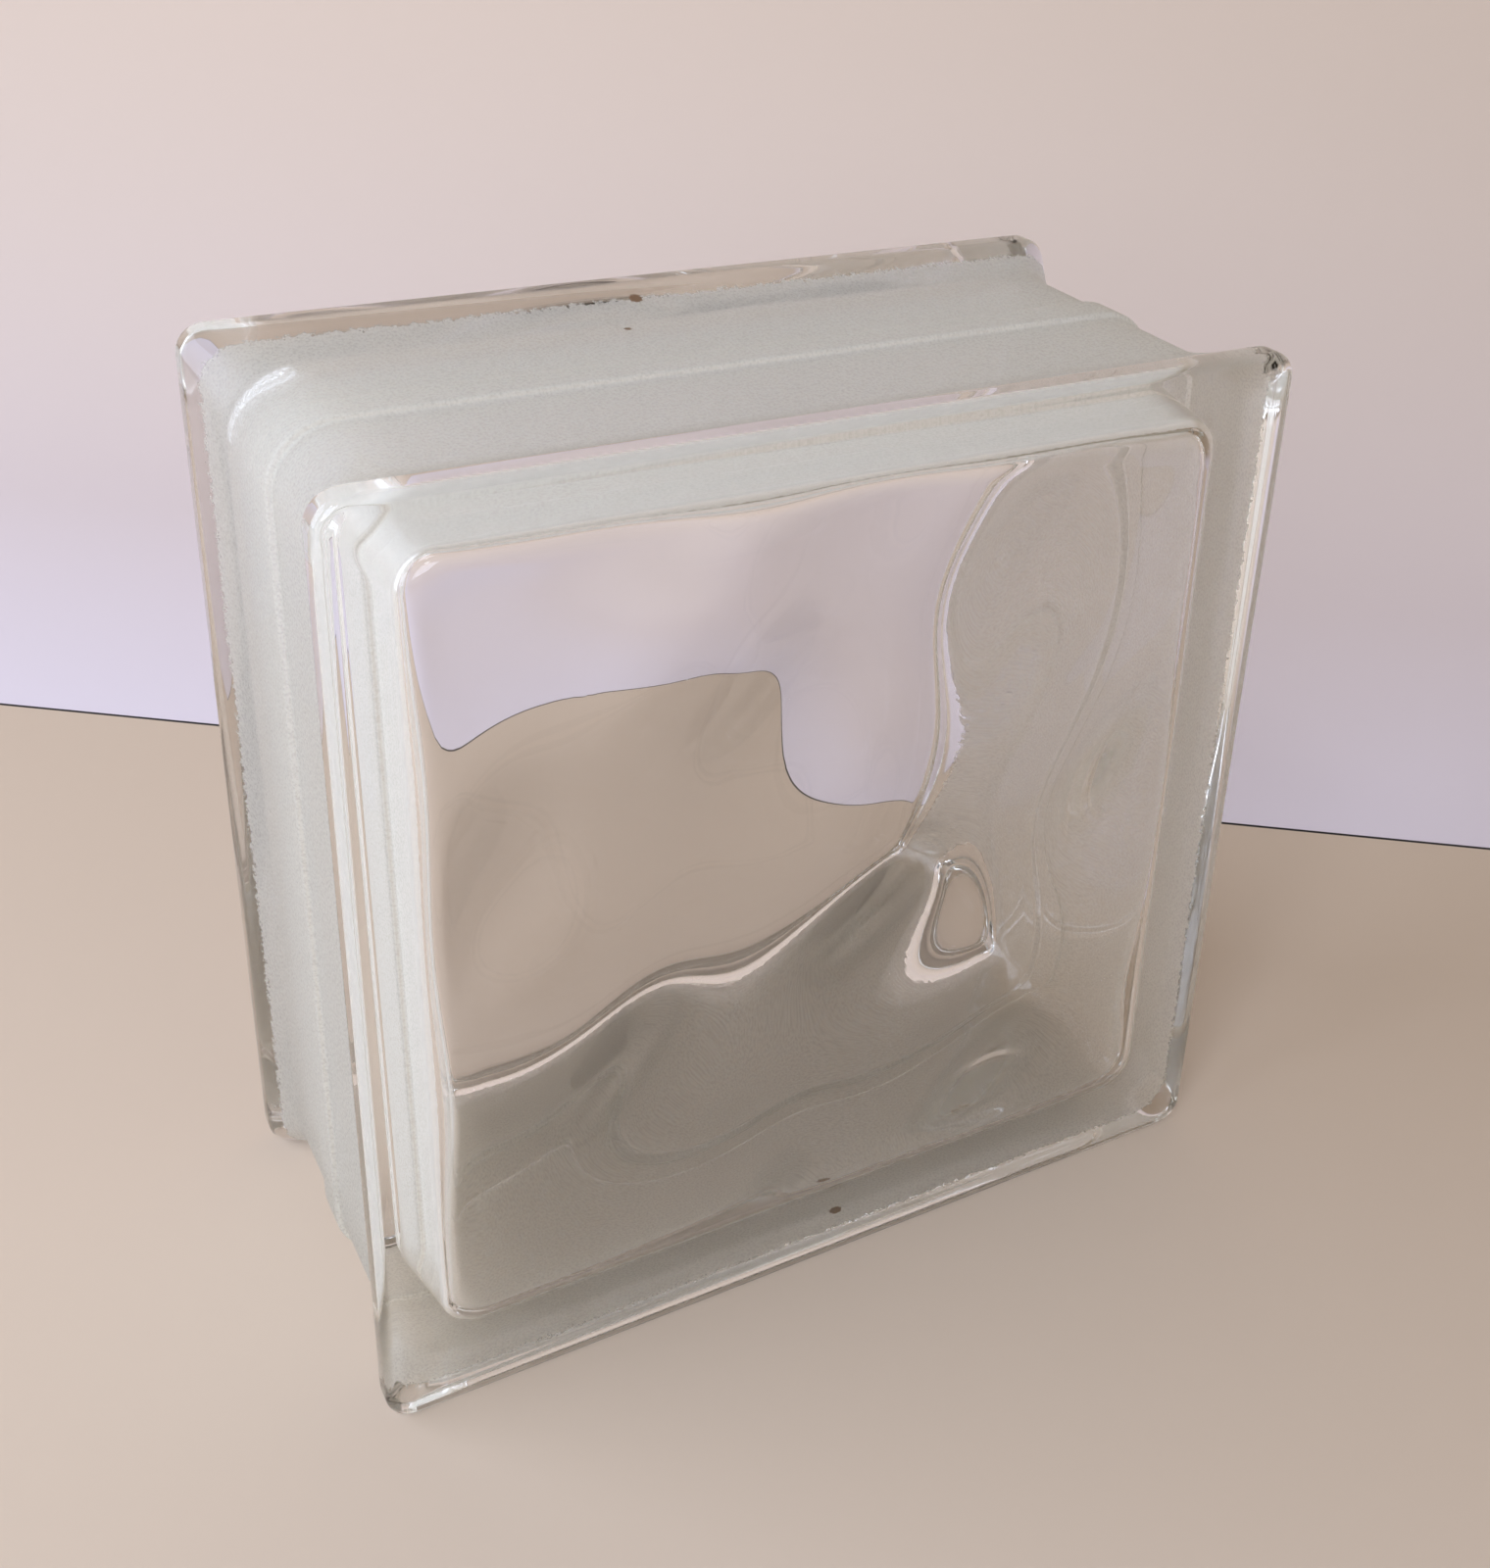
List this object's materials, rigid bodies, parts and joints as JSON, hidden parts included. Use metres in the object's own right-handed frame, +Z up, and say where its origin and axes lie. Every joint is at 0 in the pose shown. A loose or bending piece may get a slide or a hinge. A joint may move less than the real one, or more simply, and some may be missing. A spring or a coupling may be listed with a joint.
{
  "type": "hollow glass block",
  "caption": "Square hollow glass block with wavy clear panes, raised face lips and frosted mortar channels round its edges, for a wall that lets light through.",
  "frame": {"origin": "centre of the block's footprint, on the level that its lower face lips stand on", "axes": "+X across the face, +Y from the front pane to the back pane, +Z up"},
  "size_m": [0.197, 0.095, 0.197],
  "materials": {
    "glass": "clear pressed soda-lime glass with wavy inner faces; the mortar channels are frosted"
  },
  "bodies": {
    "root": {"glass_block": "glass"}
  },
  "joints": []
}
